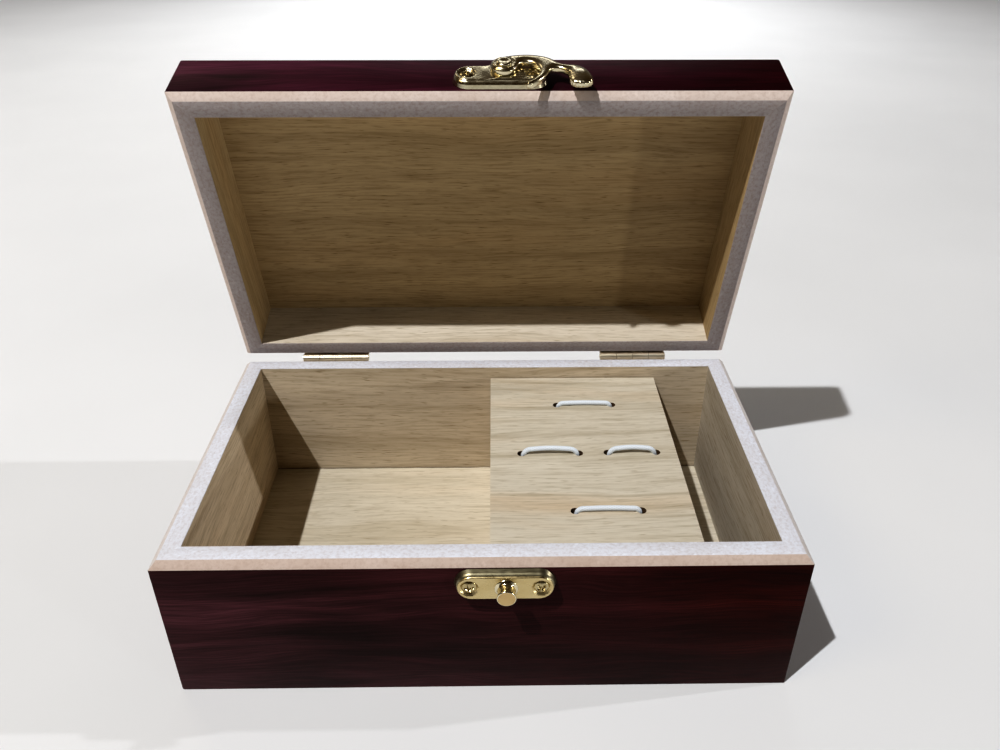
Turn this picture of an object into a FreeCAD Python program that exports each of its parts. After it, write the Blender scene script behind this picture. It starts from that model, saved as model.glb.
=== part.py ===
import FreeCAD, Part
import math, os
from FreeCAD import Vector as V

# ---------------------------------------------------------------------------
# Hinged wooden box with a swing-hook latch and a loose bridge insert that
# carries four elastic loops.  Millimetres, +X to the right, +Y to the back,
# +Z up.  Origin: centre of the underside of the base.
# Everything on the lid is drawn with the lid shut and then swung open to the
# stored pose about the hinge line.
# ---------------------------------------------------------------------------

# box
W = 200.0            # outside width
D = 120.0            # outside depth
HB = 56.0            # height of the base
HL = 24.0            # height of the lid
T = 8.0              # board thickness of the walls
CH = 2.4             # chamfer on the outer rim edges
FLOOR_T = 4.5        # floor panel
PANEL_T = 2.5        # lid panel
TOP_R = 2.0          # rounding of the lid's upper outer edges
RIM_GAP = 0.15       # slack between the two rims with the lid shut
LID_OPEN = 73.8      # stored opening angle, degrees

# hinges
HINGE_Y = D / 2 + 0.5
HINGE_Z = HB
HINGE_X = {-1: -62.5, 1: 61.7}   # centre of each hinge, left and right
HINGE_L = 27.0
KNUCKLES = 4
KN_R = 1.6
PIN_R = 0.8
BORE_R = 0.85
LEAF_T = 0.8
LEAF_Z0 = 1.9        # leaf starts this far from the pin axis
LEAF_Z1 = 10.4       # and ends here
KN_GAP = 0.15
HS_X = 8.0           # hinge screws, half spacing
HS_Z = 6.4           # hinge screws, distance from the pin axis
HS_HEAD_R = 2.0
HS_HEAD_H = 0.7
HS_R = 1.05

# latch and catch
PLATE_L = 29.2       # both plates: length of the face
PLATE_W = 9.0        # and width
PLATE_T = 3.0
PLATE_DRAFT = 0.9    # the foot is this much larger all round
PLATE_BEVEL = 0.4
LATCH_X = 6.3        # plate on the lid
LATCH_Z = 64.5
CATCH_X = 6.7        # plate on the base
CATCH_Z = 48.1
PS_SINK = 0.25       # plate screws sit this far below the face
SCREW_SP = 10.9      # plate screws, half spacing
PS_HEAD_R = 2.35     # plate screws
PS_R = 1.2
PIVOT_X = 7.5
PIVOT_Z = 65.6
BOSS_R = 4.5
BOSS_H = 3.3
HOOK_H0 = 3.4        # hook lies between these heights above the lid's front
HOOK_H1 = 5.5
RIVET_R = 1.5
RIVET_HEAD_R = 2.6
RIVET_H = 6.5
STUD_X = 7.0
STUD_Z = 47.9
STUD_NECK_R = 2.5
STUD_HEAD_R = 3.0
STUD_H1 = 6.0        # neck ends
STUD_H2 = 7.1        # head ends

# insert
DECK_X0 = 2.1
DECK_X1 = 69.7
DECK_Y = 51.3        # half depth
DECK_TOP = 51.0
DECK_T = 3.0
LEG_T = 4.0
LEG_GAP = 0.1        # slack between the legs and the floor
HOLE_R = 1.55
CORD_R = 0.9
KNOT_R = 2.3
TAIL = 6.0
# loops: name, x of left hole, x of right hole, y, bend radius at the holes
LOOPS = [
    ("elastic_loop_back", 28.2, 49.7, 31.2, 2.0),
    ("elastic_loop_left", 13.4, 34.1, -0.1, 3.0),
    ("elastic_loop_right", 44.7, 62.2, 0.1, 3.0),
    ("elastic_loop_front", 30.2, 52.2, -31.6, 2.0),
]
CORD_IN = 0.6        # the cord leans to this side of each hole

os.makedirs("parts", exist_ok=True)
FRONT = -D / 2
BACK = D / 2


def save(name, shape):
    shape.exportStep("parts/%s.step" % name)
    n = len(shape.Solids)
    print("%-22s solids %d volume %9.1f valid %s" % (name, n, shape.Volume, shape.isValid()))


def opened(shape):
    """Swing a piece drawn with the lid shut to the stored pose."""
    return shape.rotated(V(0, HINGE_Y, HINGE_Z), V(1, 0, 0), -LID_OPEN)


def prism_xy(pts, z0, z1):
    w = Part.makePolygon([V(x, y, z0) for x, y in pts] + [V(pts[0][0], pts[0][1], z0)])
    return Part.Face(w).extrude(V(0, 0, z1 - z0))


def prism_yz(pts, x0, x1):
    w = Part.makePolygon([V(x0, y, z) for y, z in pts] + [V(x0, pts[0][0], pts[0][1])])
    return Part.Face(w).extrude(V(x1 - x0, 0, 0))


def prism_xz(pts, y0, y1):
    w = Part.makePolygon([V(x, y0, z) for x, z in pts] + [V(pts[0][0], y0, pts[0][1])])
    return Part.Face(w).extrude(V(0, y1 - y0, 0))


def cyl_y(x, z, r, y0, y1):
    return Part.makeCylinder(r, y1 - y0, V(x, y0, z), V(0, 1, 0))


def cone_y(x, z, r0, r1, y0, y1):
    return Part.makeCone(r0, r1, y1 - y0, V(x, y0, z), V(0, 1, 0))


def cyl_x(y, z, r, x0, x1):
    return Part.makeCylinder(r, x1 - x0, V(x0, y, z), V(1, 0, 0))


def fuse(items):
    s = items[0]
    for i in items[1:]:
        s = s.fuse(i)
    return s.removeSplitter()


# ---------------------------------------------------------------------------
# boards: mitred at the four corners
# ---------------------------------------------------------------------------
a, b = W / 2, D / 2
TRAP = {
    "front": [(-a, -b), (a, -b), (a - T, -b + T), (-a + T, -b + T)],
    "right": [(a, -b), (a, b), (a - T, b - T), (a - T, -b + T)],
    "back": [(a, b), (-a, b), (-a + T, b - T), (a - T, b - T)],
    "left": [(-a, b), (-a, -b), (-a + T, -b + T), (-a + T, b - T)],
}


def rim_cut(side, z, up):
    """Triangular bar that takes the outer rim edge off one wall."""
    e = 1.0
    s = 1.0 if up else -1.0
    tri = [(0.0 - e, z + s * e), (0.0 - e, z - s * (CH + e)), (CH + e, z + s * e)]
    # measured inwards from the outer face
    if side == "front":
        return prism_yz([(-b + p, q) for p, q in tri], -a - 5, a + 5)
    if side == "back":
        return prism_yz([(b - p, q) for p, q in tri], -a - 5, a + 5)
    if side == "left":
        return prism_xz([(-a + p, q) for p, q in tri], -b - 5, b + 5)
    return prism_xz([(a - p, q) for p, q in tri], -b - 5, b + 5)


def round_top(side, z, r):
    """Bar that leaves a quarter-round on the outer upper edge of one wall."""
    L = 2 * max(a, b) + 20
    if side in ("front", "back"):
        y = -b if side == "front" else b
        s = 1.0 if side == "front" else -1.0
        blk = Part.makeBox(L, r + 1, r + 1, V(-L / 2, min(y - s * 1.0, y + s * r), z - r))
        c = cyl_x(y + s * r, z - r, r, -L / 2, L / 2)
    else:
        x = -a if side == "left" else a
        s = 1.0 if side == "left" else -1.0
        blk = Part.makeBox(r + 1, L, r + 1, V(min(x - s * 1.0, x + s * r), -L / 2, z - r))
        c = Part.makeCylinder(r, L, V(x + s * r, -L / 2, z - r), V(0, 1, 0))
    return blk.cut(c)


base_wall, lid_wall = {}, {}
for side, pts in TRAP.items():
    base_wall[side] = prism_xy(pts, 0, HB).cut(rim_cut(side, HB, True))
    lw = prism_xy(pts, HB + RIM_GAP, HB + HL).cut(rim_cut(side, HB + RIM_GAP, False))
    lid_wall[side] = lw.cut(round_top(side, HB + HL, TOP_R))

# pilot holes for the screws
for sx in (-1, 1):
    for k in (-1, 1):
        x = HINGE_X[sx] + k * HS_X
        base_wall["back"] = base_wall["back"].cut(cyl_y(x, HINGE_Z - HS_Z, HS_R + 0.02, BACK - 6.2, BACK + 1))
        lid_wall["back"] = lid_wall["back"].cut(cyl_y(x, HINGE_Z + HS_Z, HS_R + 0.02, BACK - 6.2, BACK + 1))
for k in (-1, 1):
    base_wall["front"] = base_wall["front"].cut(cyl_y(CATCH_X + k * SCREW_SP, CATCH_Z, PS_R + 0.02, FRONT - 1, FRONT + 6.2))
    lid_wall["front"] = lid_wall["front"].cut(cyl_y(LATCH_X + k * SCREW_SP, LATCH_Z, PS_R + 0.02, FRONT - 1, FRONT + 6.2))

for side in TRAP:
    save("base_%s_wall" % side, base_wall[side])
    save("lid_%s_wall" % side, opened(lid_wall[side]))

save("base_floor", Part.makeBox(W - 2 * T, D - 2 * T, FLOOR_T, V(-a + T, -b + T, 0)))
save("lid_panel", opened(Part.makeBox(W - 2 * T, D - 2 * T, PANEL_T, V(-a + T, -b + T, HB + HL - PANEL_T))))

# ---------------------------------------------------------------------------
# hinges: two leaves on the back faces, knuckles sit in the rim's V-groove
# ---------------------------------------------------------------------------


def cross_y(x, z, y, out, size, wid, depth):
    """Cross recess cut into a head whose face looks along out (-1 or +1 in Y)."""
    y0, y1 = sorted((y - out * depth, y + out * 1.0))
    h = Part.makeBox(2 * size, y1 - y0, wid, V(x - size, y0, z - wid / 2))
    v = Part.makeBox(wid, y1 - y0, 2 * size, V(x - wid / 2, y0, z - size))
    return h.fuse(v)


def leaf(xc, up, own):
    """One hinge leaf with its knuckles; up is +1 for the lid, -1 for the base."""
    x0 = xc - HINGE_L / 2
    z0, z1 = sorted((HINGE_Z + up * LEAF_Z0, HINGE_Z + up * LEAF_Z1))
    plate = Part.makeBox(HINGE_L, LEAF_T, z1 - z0, V(x0, BACK, z0))
    far = HINGE_Z + up * LEAF_Z1
    corner = [e for e in plate.Edges
              if abs(e.CenterOfMass.z - far) < 1e-6 and abs(e.Length - LEAF_T) < 1e-6]
    plate = plate.makeFillet(1.5, corner)
    items = [plate]
    step = HINGE_L / KNUCKLES
    for i in own:
        k0 = x0 + i * step + (KN_GAP / 2 if i else 0)
        k1 = x0 + (i + 1) * step - (KN_GAP / 2 if i < KNUCKLES - 1 else 0)
        ta, tb = sorted((HINGE_Z, HINGE_Z + up * (LEAF_Z0 + 0.2)))
        items.append(Part.makeBox(k1 - k0, LEAF_T, tb - ta, V(k0, BACK, ta)))
        items.append(cyl_x(HINGE_Y, HINGE_Z, KN_R, k0, k1))
    s = fuse(items)
    s = s.cut(cyl_x(HINGE_Y, HINGE_Z, BORE_R, x0 - 1, x0 + HINGE_L + 1))
    for k in (-1, 1):
        s = s.cut(cyl_y(xc + k * HS_X, HINGE_Z + up * HS_Z, HS_R + 0.1, BACK - 1, BACK + LEAF_T + 1))
    return s


def hinge_screw(x, z):
    y = BACK + LEAF_T
    # low dome on the leaf, shank into the board
    rs = (HS_HEAD_R ** 2 + HS_HEAD_H ** 2) / (2 * HS_HEAD_H)
    ball = Part.makeSphere(rs, V(x, y + HS_HEAD_H - rs, z))
    dome = ball.common(Part.makeBox(10, 5, 10, V(x - 5, y, z - 5)))
    s = dome.fuse(cyl_y(x, z, HS_R, BACK - 6, y + 0.05)).removeSplitter()
    return s.cut(cross_y(x, z, y + HS_HEAD_H, 1, 1.15, 0.45, 0.55))


for sx, nm in ((-1, "left"), (1, "right")):
    xc = HINGE_X[sx]
    save("hinge_%s_base_leaf" % nm, leaf(xc, -1, (0, 2)))
    save("hinge_%s_lid_leaf" % nm, opened(leaf(xc, 1, (1, 3))))
    save("hinge_%s_pin" % nm, cyl_x(HINGE_Y, HINGE_Z, PIN_R, xc - HINGE_L / 2 - 0.2, xc + HINGE_L / 2 + 0.2))
scr_b, scr_l = [], []
for sx in (-1, 1):
    for k in (-1, 1):
        x = HINGE_X[sx] + k * HS_X
        scr_b.append(hinge_screw(x, HINGE_Z - HS_Z))
        scr_l.append(hinge_screw(x, HINGE_Z + HS_Z))
save("hinge_base_screws", Part.makeCompound(scr_b))
save("hinge_lid_screws", opened(Part.makeCompound(scr_l)))

# ---------------------------------------------------------------------------
# latch on the lid, catch on the base
# ---------------------------------------------------------------------------


def round_ended(xc, zc, y, grow):
    r = PLATE_W / 2 + grow
    h = PLATE_L / 2 - PLATE_W / 2
    p = [V(xc - h, y, zc + r), V(xc + h, y, zc + r), V(xc + h, y, zc - r), V(xc - h, y, zc - r)]
    return Part.Wire([
        Part.LineSegment(p[0], p[1]).toShape(),
        Part.Arc(p[1], V(xc + h + r, y, zc), p[2]).toShape(),
        Part.LineSegment(p[2], p[3]).toShape(),
        Part.Arc(p[3], V(xc - h - r, y, zc), p[0]).toShape(),
    ])


def plate(xc, zc):
    """Long cast plate with round ends: sloping sides, bevelled face, sunk screw seats."""
    y0, y1 = FRONT, FRONT - PLATE_T
    s = Part.makeLoft([
        round_ended(xc, zc, y0, PLATE_DRAFT),
        round_ended(xc, zc, y1 + PLATE_BEVEL, 0.0),
        round_ended(xc, zc, y1, -PLATE_BEVEL),
    ], True, True)
    for k in (-1, 1):
        x = xc + k * SCREW_SP
        s = s.cut(cyl_y(x, zc, PS_R + 0.1, y1 - 1, y0 + 1))
        s = s.cut(cyl_y(x, zc, PS_HEAD_R + 0.15, y1 - 1, y1 + PS_SINK))
        s = s.cut(cone_y(x, zc, PS_HEAD_R + 0.15, PS_R + 0.1, y1 + PS_SINK, y1 + PS_SINK + 1.35))
    return s


def plate_screw(x, z):
    """Oval countersunk screw with a cross recess."""
    y = FRONT - PLATE_T + PS_SINK
    rs = (PS_HEAD_R ** 2 + 0.35 ** 2) / (2 * 0.35)
    ball = Part.makeSphere(rs, V(x, y + 0.1 - 0.35 + rs, z))
    dome = ball.common(Part.makeBox(10, 5, 10, V(x - 5, y + 0.1 - 5, z - 5)))
    s = fuse([dome, cone_y(x, z, PS_HEAD_R, PS_R, y + 0.1, y + 1.25), cyl_y(x, z, PS_R, y + 1.2, FRONT + 6)])
    return s.cut(cross_y(x, z, y - 0.25, -1, 1.5, 0.6, 0.85))


latch_plate = plate(LATCH_X, LATCH_Z)
boss = cyl_y(PIVOT_X, PIVOT_Z, BOSS_R, FRONT - BOSS_H, FRONT - 0.5)
latch_plate = latch_plate.fuse(boss).removeSplitter()
latch_plate = latch_plate.cut(cyl_y(PIVOT_X, PIVOT_Z, RIVET_R, FRONT - BOSS_H - 1, FRONT - 0.6))
save("latch_plate", opened(latch_plate))

hd = RIVET_H - HOOK_H1 - 0.1
rs = (RIVET_HEAD_R ** 2 + hd ** 2) / (2 * hd)
y_top = FRONT - RIVET_H
ball = Part.makeSphere(rs, V(PIVOT_X, y_top + rs, PIVOT_Z))
head = ball.common(Part.makeBox(10, hd, 10, V(PIVOT_X - 5, y_top, PIVOT_Z - 5)))
rivet = head.fuse(cyl_y(PIVOT_X, PIVOT_Z, RIVET_R, y_top + hd - 0.05, FRONT - 0.65)).removeSplitter()
save("latch_rivet", opened(rivet))
save("latch_screws", opened(Part.makeCompound([plate_screw(LATCH_X + k * SCREW_SP, LATCH_Z) for k in (-1, 1)])))

# swing hook, outline about the pivot as it lies in the stored pose:
# hub, arch over the plate, neck, thumb lobe, notch for the stud, inner claw
HOOK = [
    (-4.4, 0.0), (-3.8, 2.2), (-2.4, 3.8), (-0.2, 4.9), (2.6, 5.7), (5.6, 6.2), (8.6, 6.2),
    (11.5, 5.6), (14.0, 4.5), (15.9, 3.0), (17.2, 1.4), (18.6, 0.3), (20.4, -0.1), (22.4, -0.3),
    (24.3, -1.2), (26.0, -3.2), (27.3, -5.8), (27.8, -8.6), (27.1, -10.9), (25.0, -11.8),
    (22.6, -11.7), (21.0, -10.6), (20.4, -8.4), (20.4, -5.9), (19.9, -4.2), (18.7, -3.0),
    (17.0, -2.3), (15.4, -2.6), (14.3, -3.8), (13.6, -5.8), (12.4, -8.2), (10.8, -10.2),
    (9.2, -11.6), (7.9, -12.4), (7.0, -12.2), (7.1, -11.2), (8.2, -9.9), (9.6, -8.2),
    (10.7, -6.2), (11.3, -4.2), (11.3, -2.2), (10.5, -0.3), (9.0, 1.1), (7.3, 1.8),
    (5.7, 1.5), (4.7, 0.3), (4.2, -1.3), (3.2, -3.0), (1.6, -4.1), (-0.6, -4.35), (-2.7, -3.5),
    (-3.9, -2.0),
]
pts = [V(PIVOT_X + u, FRONT - HOOK_H0, PIVOT_Z + v) for u, v in HOOK]
bs = Part.BSplineCurve()
bs.interpolate(Points=pts, PeriodicFlag=True)
hook = Part.Face(Part.Wire(bs.toShape())).extrude(V(0, -(HOOK_H1 - HOOK_H0), 0))
hook = hook.cut(cyl_y(PIVOT_X, PIVOT_Z, RIVET_R + 0.05, FRONT - 8, FRONT))
save("latch_hook", opened(hook))

save("catch_plate", plate(CATCH_X, CATCH_Z).cut(cyl_y(STUD_X, STUD_Z, 1.8, FRONT - PLATE_T - 1, FRONT - 0.6)))
y_h = FRONT - STUD_H2
stud = fuse([
    cyl_y(STUD_X, STUD_Z, 1.8, FRONT - PLATE_T - 0.05, FRONT - 0.65),
    cone_y(STUD_X, STUD_Z, STUD_NECK_R, 3.5, FRONT - PLATE_T - 0.25, FRONT - PLATE_T),
    cyl_y(STUD_X, STUD_Z, STUD_NECK_R, FRONT - STUD_H1 - 0.05, FRONT - PLATE_T - 0.2),
    cone_y(STUD_X, STUD_Z, STUD_HEAD_R, STUD_NECK_R, FRONT - STUD_H1 - 0.4, FRONT - STUD_H1),
    cyl_y(STUD_X, STUD_Z, STUD_HEAD_R, y_h + 0.3, FRONT - STUD_H1 - 0.4),
    cone_y(STUD_X, STUD_Z, STUD_HEAD_R - 0.3, STUD_HEAD_R, y_h, y_h + 0.3),
])
save("catch_stud", stud)
save("catch_screws", Part.makeCompound([plate_screw(CATCH_X + k * SCREW_SP, CATCH_Z) for k in (-1, 1)]))

# ---------------------------------------------------------------------------
# bridge insert: deck on two side boards, four elastic loops knotted below
# ---------------------------------------------------------------------------
z_under = DECK_TOP - DECK_T
deck = Part.makeBox(DECK_X1 - DECK_X0, 2 * DECK_Y, DECK_T, V(DECK_X0, -DECK_Y, z_under))
for nm, xa, xb, y, r in LOOPS:
    for x in (xa, xb):
        deck = deck.cut(Part.makeCylinder(HOLE_R, DECK_T + 2, V(x, y, z_under - 1), V(0, 0, 1)))
save("insert_deck", deck)
z_leg = FLOOR_T + LEG_GAP
save("insert_left_board", Part.makeBox(LEG_T, 2 * DECK_Y, z_under - z_leg, V(DECK_X0, -DECK_Y, z_leg)))
save("insert_right_board", Part.makeBox(LEG_T, 2 * DECK_Y, z_under - z_leg, V(DECK_X1 - LEG_T, -DECK_Y, z_leg)))

for nm, xa, xb, y, r in LOOPS:
    x0, x1 = xa + CORD_IN, xb - CORD_IN
    zt = DECK_TOP - 1.05 + r          # height of the run over the deck
    z_tail = z_under - 2 * KNOT_R - TAIL
    zs = zt - r
    m = r * (1 - math.cos(math.pi / 4))
    p0, p1 = V(x0, y, z_tail), V(x0, y, zs)
    p2, p3 = V(x0 + r, y, zt), V(x1 - r, y, zt)
    p4, p5 = V(x1, y, zs), V(x1, y, z_tail)
    edges = [
        Part.LineSegment(p0, p1).toShape(),
        Part.Arc(p1, V(x0 + m, y, zt - m), p2).toShape(),
        Part.LineSegment(p2, p3).toShape(),
        Part.Arc(p3, V(x1 - m, y, zt - m), p4).toShape(),
        Part.LineSegment(p4, p5).toShape(),
    ]
    path = Part.Wire(edges)
    prof = Part.Wire(Part.makeCircle(CORD_R, p0, V(0, 0, 1)))
    cord = path.makePipeShell([prof], True, True)
    want = math.pi * CORD_R ** 2 * path.Length
    print("%s cord length %.1f  volume / (section x length) %.4f  bend radius %.1f"
          % (nm, path.Length, cord.Volume / want, r))
    knots = [Part.makeSphere(KNOT_R, V(x, y, z_under - KNOT_R - 0.05)) for x in (x0, x1)]
    save(nm, fuse([cord] + knots))
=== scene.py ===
import bpy, bmesh, math
import numpy as np
from mathutils import Matrix, Vector
from mathutils.geometry import delaunay_2d_cdt


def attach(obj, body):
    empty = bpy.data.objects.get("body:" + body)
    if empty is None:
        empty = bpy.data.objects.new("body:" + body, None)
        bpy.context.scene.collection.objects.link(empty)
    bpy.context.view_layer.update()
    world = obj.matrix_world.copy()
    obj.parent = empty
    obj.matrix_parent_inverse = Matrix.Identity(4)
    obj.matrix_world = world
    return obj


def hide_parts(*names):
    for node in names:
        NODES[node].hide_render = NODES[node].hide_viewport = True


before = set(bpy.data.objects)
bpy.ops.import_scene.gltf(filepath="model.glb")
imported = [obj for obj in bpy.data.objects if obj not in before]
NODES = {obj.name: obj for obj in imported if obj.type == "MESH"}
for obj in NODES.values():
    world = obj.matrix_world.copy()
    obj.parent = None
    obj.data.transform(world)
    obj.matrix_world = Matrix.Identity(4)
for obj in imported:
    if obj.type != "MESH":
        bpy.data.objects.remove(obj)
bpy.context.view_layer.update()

# ---------------------------------------------------------------------------
# dimensions, millimetres (the same frame as the construction model)
# ---------------------------------------------------------------------------
W, D, HB, HL, T, CH = 200.0, 120.0, 56.0, 24.0, 8.0, 2.4
FLOOR_T, PANEL_T, TOP_R, GAP = 4.5, 2.5, 2.0, 0.15
OPEN = math.radians(73.8)
HY, HZ = D / 2 + 0.5, HB
MM = 0.001


def opened(p):
    """A point drawn with the lid shut, swung to the stored pose."""
    dy, dz = p[1] - HY, p[2] - HZ
    c, s = math.cos(OPEN), math.sin(OPEN)
    return (p[0], HY + dy * c + dz * s, HZ - dy * s + dz * c)


# ---------------------------------------------------------------------------
# node helper
# ---------------------------------------------------------------------------
class Mat:
    def __init__(self, name):
        self.m = bpy.data.materials.new(name)
        self.m.use_nodes = True
        self.t = self.m.node_tree
        self.t.nodes.clear()
        self.out = self.t.nodes.new("ShaderNodeOutputMaterial")
        self.b = self.t.nodes.new("ShaderNodeBsdfPrincipled")
        self.t.links.new(self.b.outputs[0], self.out.inputs["Surface"])

    def link(self, v, sock):
        if hasattr(v, "is_linked") or hasattr(v, "links"):
            self.t.links.new(v, sock)
        else:
            if isinstance(v, (tuple, list)) and len(v) == 3 and sock.type == "RGBA":
                v = (v[0], v[1], v[2], 1.0)
            sock.default_value = v

    def uv(self):
        return self.t.nodes.new("ShaderNodeTexCoord").outputs["UV"]

    def obj(self):
        return self.t.nodes.new("ShaderNodeTexCoord").outputs["Object"]

    def onormal(self):
        return self.t.nodes.new("ShaderNodeTexCoord").outputs["Normal"]

    def map(self, v, scale=(1, 1, 1), loc=(0, 0, 0), rot=(0, 0, 0)):
        n = self.t.nodes.new("ShaderNodeMapping")
        self.link(v, n.inputs["Vector"])
        n.inputs["Scale"].default_value = scale
        n.inputs["Location"].default_value = loc
        n.inputs["Rotation"].default_value = rot
        return n.outputs[0]

    def noise(self, v, scale=5.0, detail=2.0, rough=0.5, dist=0.0, color=False):
        n = self.t.nodes.new("ShaderNodeTexNoise")
        self.link(v, n.inputs["Vector"])
        n.inputs["Scale"].default_value = scale
        n.inputs["Detail"].default_value = detail
        n.inputs["Roughness"].default_value = rough
        n.inputs["Distortion"].default_value = dist
        return n.outputs["Color" if color else "Fac"]

    def wave(self, v, scale=5.0, dist=0.0, detail=2.0, dscale=1.0, direction="Y", profile="SIN"):
        n = self.t.nodes.new("ShaderNodeTexWave")
        n.wave_type = "BANDS"
        n.bands_direction = direction
        n.wave_profile = profile
        self.link(v, n.inputs["Vector"])
        n.inputs["Scale"].default_value = scale
        n.inputs["Distortion"].default_value = dist
        n.inputs["Detail"].default_value = detail
        n.inputs["Detail Scale"].default_value = dscale
        return n.outputs["Fac"]

    def voronoi(self, v, scale=5.0, feature="F1", rnd=1.0):
        n = self.t.nodes.new("ShaderNodeTexVoronoi")
        n.feature = feature
        self.link(v, n.inputs["Vector"])
        n.inputs["Scale"].default_value = scale
        n.inputs["Randomness"].default_value = rnd
        return n.outputs["Distance"]

    def ramp(self, f, stops, interp="LINEAR"):
        n = self.t.nodes.new("ShaderNodeValToRGB")
        self.link(f, n.inputs[0])
        cr = n.color_ramp
        cr.interpolation = interp
        while len(cr.elements) < len(stops):
            cr.elements.new(0.5)
        for e, (p, c) in zip(cr.elements, stops):
            e.position = p
            e.color = (c, c, c, 1) if not isinstance(c, (tuple, list)) else (c[0], c[1], c[2], 1)
        return n.outputs[0]

    def mix(self, f, a, b, mode="MIX"):
        n = self.t.nodes.new("ShaderNodeMix")
        n.data_type = "RGBA"
        n.blend_type = mode
        n.clamp_factor = True
        self.link(f, n.inputs[0])
        self.link(a, n.inputs[6])
        self.link(b, n.inputs[7])
        return n.outputs[2]

    def math(self, op, a, b=0.0, clamp=False):
        n = self.t.nodes.new("ShaderNodeMath")
        n.operation = op
        n.use_clamp = clamp
        self.link(a, n.inputs[0])
        self.link(b, n.inputs[1])
        return n.outputs[0]

    def xyz(self, v):
        n = self.t.nodes.new("ShaderNodeSeparateXYZ")
        self.link(v, n.inputs[0])
        return n.outputs[0], n.outputs[1], n.outputs[2]

    def comb(self, x, y, z):
        n = self.t.nodes.new("ShaderNodeCombineXYZ")
        for v, s in zip((x, y, z), n.inputs):
            self.link(v, s)
        return n.outputs[0]

    def vadd(self, a, b):
        n = self.t.nodes.new("ShaderNodeVectorMath")
        n.operation = "ADD"
        self.link(a, n.inputs[0])
        self.link(b, n.inputs[1])
        return n.outputs[0]

    def bump(self, h, strength=0.2, dist=0.0005, normal=None):
        n = self.t.nodes.new("ShaderNodeBump")
        n.inputs["Strength"].default_value = strength
        n.inputs["Distance"].default_value = dist
        self.link(h, n.inputs["Height"])
        if normal is not None:
            self.link(normal, n.inputs["Normal"])
        return n.outputs[0]

    def set(self, **kw):
        names = {"color": "Base Color", "rough": "Roughness", "metal": "Metallic", "spec": "Specular IOR Level",
                 "coat": "Coat Weight", "coat_rough": "Coat Roughness", "normal": "Normal", "sheen": "Sheen Weight",
                 "sheen_rough": "Sheen Roughness", "sss": "Subsurface Weight", "ior": "IOR"}
        for k, v in kw.items():
            self.link(v, self.b.inputs[names[k]])
        return self.m


# ---------------------------------------------------------------------------
# materials.  Wood textures run in units of 100 mm, grain along U.
# ---------------------------------------------------------------------------
def rosewood(name, seed, tint=(0.022, 0.0042, 0.0075), painted_shade_right=None):
    """Dark red-purple printed foil with long black streaks, satin.  Its colour runs along the box as painted light:
    the first tone is lifted as a painted sheen at the left and falls to a painted shade at the right."""
    m = Mat(name)
    uv = m.map(m.uv(), loc=(seed, seed * 0.37, 0))
    warp = m.noise(m.map(uv, (1.1, 4.0, 1)), 1.0, 2, 0.5, color=True)
    uvw = m.vadd(uv, m.map(warp, (0.0, 0.20, 0.0)))
    broad = m.noise(m.map(uvw, (0.55, 7.0, 1)), 1.0, 3, 0.55)
    patch = m.noise(m.map(uv, (1.3, 3.4, 1), loc=(5, 2, 0)), 1.0, 2, 0.5)
    streak = m.mix(0.55, m.noise(m.map(uvw, (1.5, 22.0, 1)), 1.0, 4, 0.62), patch)
    fine = m.noise(m.map(uvw, (5.0, 190.0, 1)), 1.0, 2, 0.6)
    r, g, b_ = tint
    base = m.ramp(broad, [(0.28, (r * 0.45, g * 0.55, b_ * 0.5)), (0.47, (r, g, b_)), (0.64, (r * 1.75, g * 1.8, b_ * 1.9)), (0.8, (r * 0.9, g * 0.9, b_ * 0.9))])
    dark = m.ramp(streak, [(0.34, 0.0), (0.50, 0.8), (0.62, 1.0)])
    c = m.mix(dark, (r * 0.30, g * 0.42, b_ * 0.34), base)
    c = m.mix(m.ramp(fine, [(0.42, 0.40), (0.60, 0.0)]), c, (r * 0.16, g * 0.2, b_ * 0.16))
    # painted light: a painted sheen lifts the left end, a painted shade darkens the right end
    if painted_shade_right:
        x, y, z = m.xyz(m.obj())
        wob = m.noise(m.map(uv, (0.8, 2.0, 1), loc=(2, 9, 0)), 1.0, 2, 0.5)
        along = m.math("ADD", m.math("MULTIPLY", x, 5.0), wob)
        c = m.mix(m.ramp(along, [(0.05, 0.0), (0.95, 1.0)]), c, m.mix(1.0, c, painted_shade_right, "MULTIPLY"))
    rough = m.ramp(m.noise(m.map(uv, (20, 60, 1)), 1.0, 2), [(0.3, 0.34), (0.7, 0.42)])
    bump = m.bump(fine, 0.10, 0.00004)
    return m.set(color=c, rough=rough, spec=0.07, normal=bump)


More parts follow.
